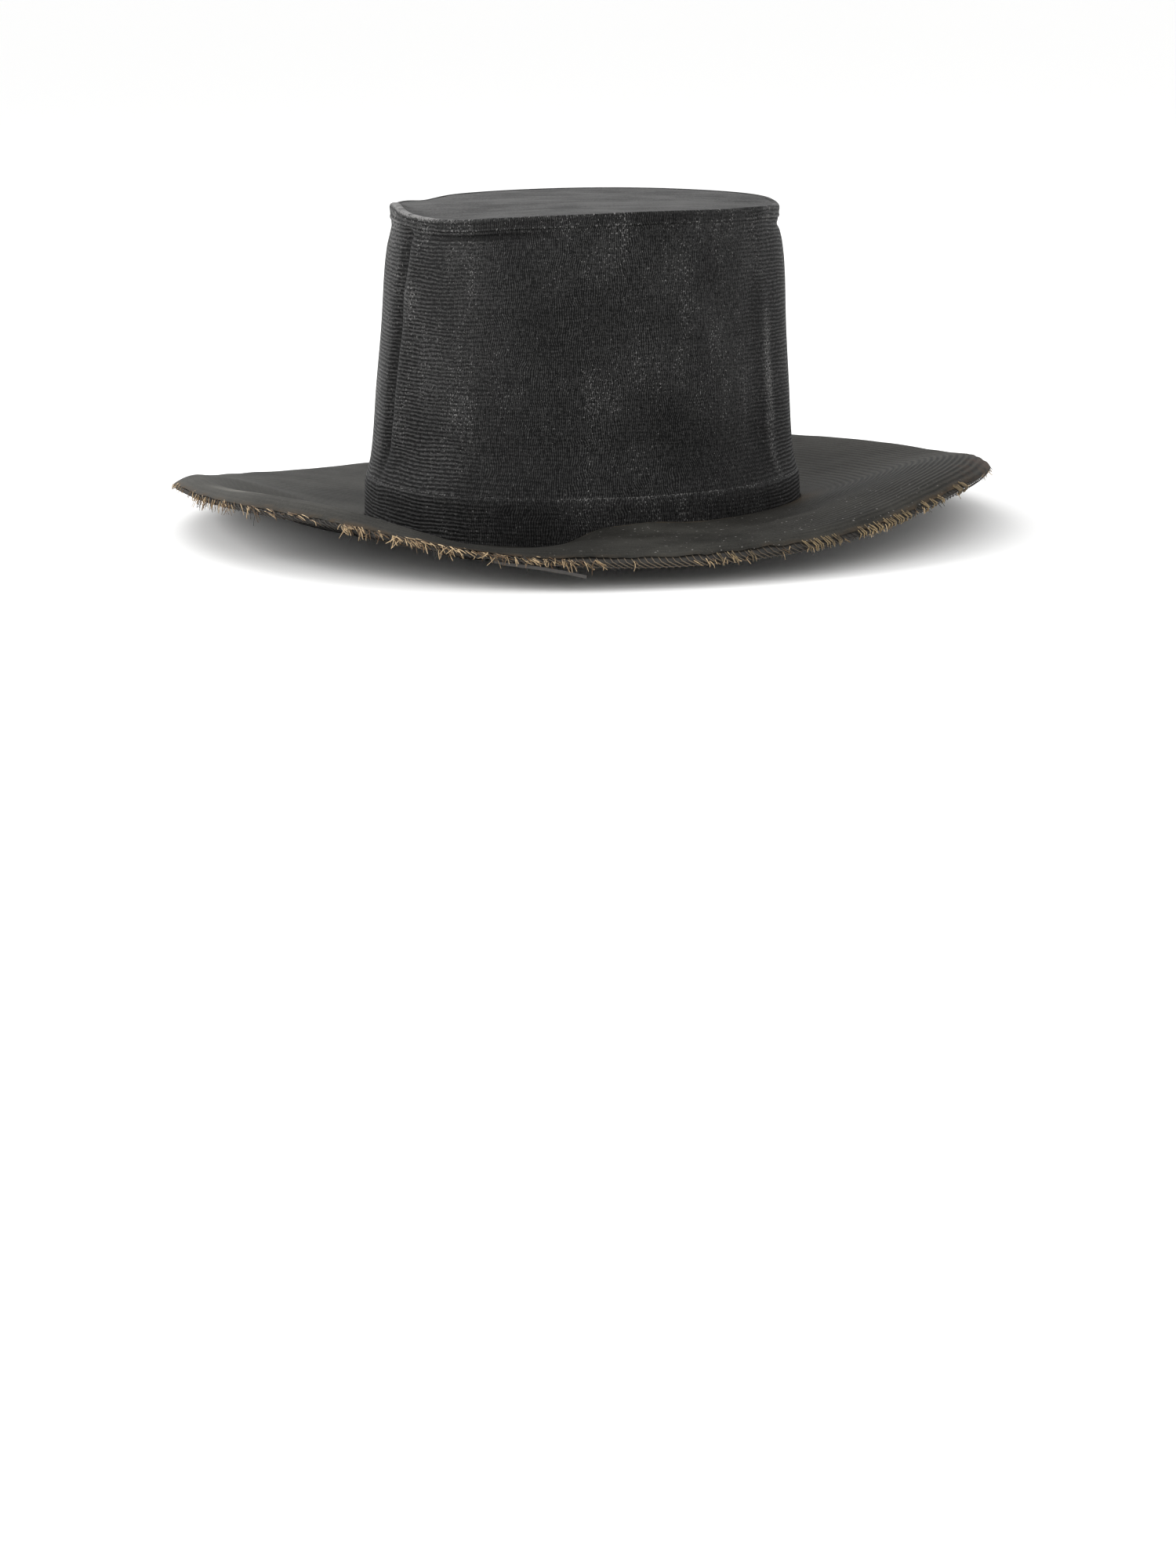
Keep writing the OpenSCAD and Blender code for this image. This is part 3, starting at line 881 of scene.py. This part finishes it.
# Where each kind ends in the shuffled list, its name, its thickness and its finish
kinds = (
    (0.42, "frayed_pale", 0.31, straw("pale_straw", (0.22, 0.15, 0.08, 1), (0.62, 0.46, 0.27, 1))),
    (0.76, "frayed_brown", 0.27, straw("brown_straw", (0.07, 0.042, 0.022, 1), (0.2, 0.125, 0.062, 1))),
    (1.0, "frayed_dark", 0.24, straw("lacquered_straw", (0.012, 0.01, 0.008, 1), (0.045, 0.038, 0.03, 1))),
)
first = 0
for share, name, thickness, finish in kinds:
    last = round(share * len(all_strands))
    piece = strands(name, all_strands[first:last], thickness)
    piece.data.materials.append(finish)
    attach(piece, "hat")
    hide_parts("brim_web")
    first = last

# Stiff splint ends bent down over the edge at the front right: where each row starts, and
# how many lie side by side in it
bar_rows = [
    (-72.6, 2), (-71.2, 3), (-68.4, 2), (-60.4, 2), (-59.2, 4), (-57.4, 4),
    (-55.6, 3), (-51.5, 3), (-49.9, 4), (-48.2, 3), (-46.6, 5), (-44.4, 4),
    (-42.8, 4), (-38.2, 3), (-36.2, 2), (-34.6, 3), (-29.2, 5), (-26.8, 3),
]
bar_runs = []
for first_at, count in bar_rows:
    for k in range(count):
        at = first_at + 0.34 * k + fray.gauss(0, 0.04)
        slip = fray.gauss(0.55, 0.25)
        bar = [
            brim_point(at, rim_r - fray.uniform(1.2, 2.6), 0.1),
            brim_point(at + slip * 0.6, rim_r + 0.1, 0.12),
            brim_point(at + slip, rim_r + 0.3, -1.2),
            brim_point(at + slip * 1.5, rim_r + fray.uniform(0.1, 0.5), -fray.uniform(1.8, 3.0)),
        ]
        bar_runs.append([(p, share) for p, share in zip(bar, (0.8, 1, 1, 0.7))])
splint_ends = strands("splint_ends", bar_runs, 0.5)
splint_ends.data.materials.append(straw("splint_straw", (0.055, 0.042, 0.026, 1), (0.3, 0.22, 0.115, 1)))
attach(splint_ends, "hat")
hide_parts("brim_web")


# ---- Collar and inner hoop --------------------------------------------------------------
# Bamboo rings at the foot of the crown. The collar lines the head opening, and is whipped
# along its upper edge with dark thread; the flat hoop outside it carries the brim.
collar_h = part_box("collar_ring")[1].z / mm
bore_r = 77
stitch_count = 48
for node in ("collar_ring", "brim_inner_hoop"):
    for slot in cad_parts[node].material_slots:
        slot.material = hoop_bamboo

stitch_path = [(-0.1, -3.2), (-0.16, -1.6), (-0.14, -0.1), (0.15, 0.24), (0.7, 0.3), (1.15, 0.2)]


def whip_stitch(a):
    """One stitch up the collar's inner face and over its edge, leaning along it as it goes."""
    run = []
    for k, (d, z) in enumerate(stitch_path):
        turn = math.radians(a + 0.45 * k)
        r = bore_r + d
        run.append((Vector((r * math.cos(turn), r * math.sin(turn), collar_h + z)), 1))
    return run


thread = Finish("dark_thread", Specular_IOR_Level=0.3)
thread_tone = thread.cloud(thread.warped(), 3.0, 3.0, 0.7)
stitch_runs = [whip_stitch(360 * k / stitch_count) for k in range(stitch_count)]
whip_stitches = strands("whip_stitches", stitch_runs, 0.5)
whip_stitches.data.bevel_resolution = 1
whip_stitches.data.materials.append(thread.paint(
    thread.blend(thread_tone, (0.02, 0.016, 0.012, 1), (0.07, 0.052, 0.036, 1)), 0.8, thread_tone, 0.1,
))
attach(whip_stitches, "hat")
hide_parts("collar_stitches")


# ---- Chin cord fixings ------------------------------------------------------------------
# A brass wire ring hangs in a small staple at each side under the brim. The cords are gone,
# and the brass has dulled except where the rings rub.
brass = Finish("dull_brass", Metallic=1.0)
brass_spot = brass.warped()
tarnish = brass.cloud(brass_spot, 0.7, 4.0, 0.65)
scratch = brass.cloud(brass_spot, 6.0, 2.0, 0.6)
brass_finish = brass.paint(
    brass.blend(brass.band(tarnish, 0.38, 0.66), (0.14, 0.105, 0.05, 1), (0.52, 0.4, 0.18, 1)),
    0.34 + 0.3 * tarnish, scratch, 0.04,
)
for node in ("tie_ring_left", "tie_ring_right", "tie_staple_left", "tie_staple_right"):
    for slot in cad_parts[node].material_slots:
        slot.material = brass_finish
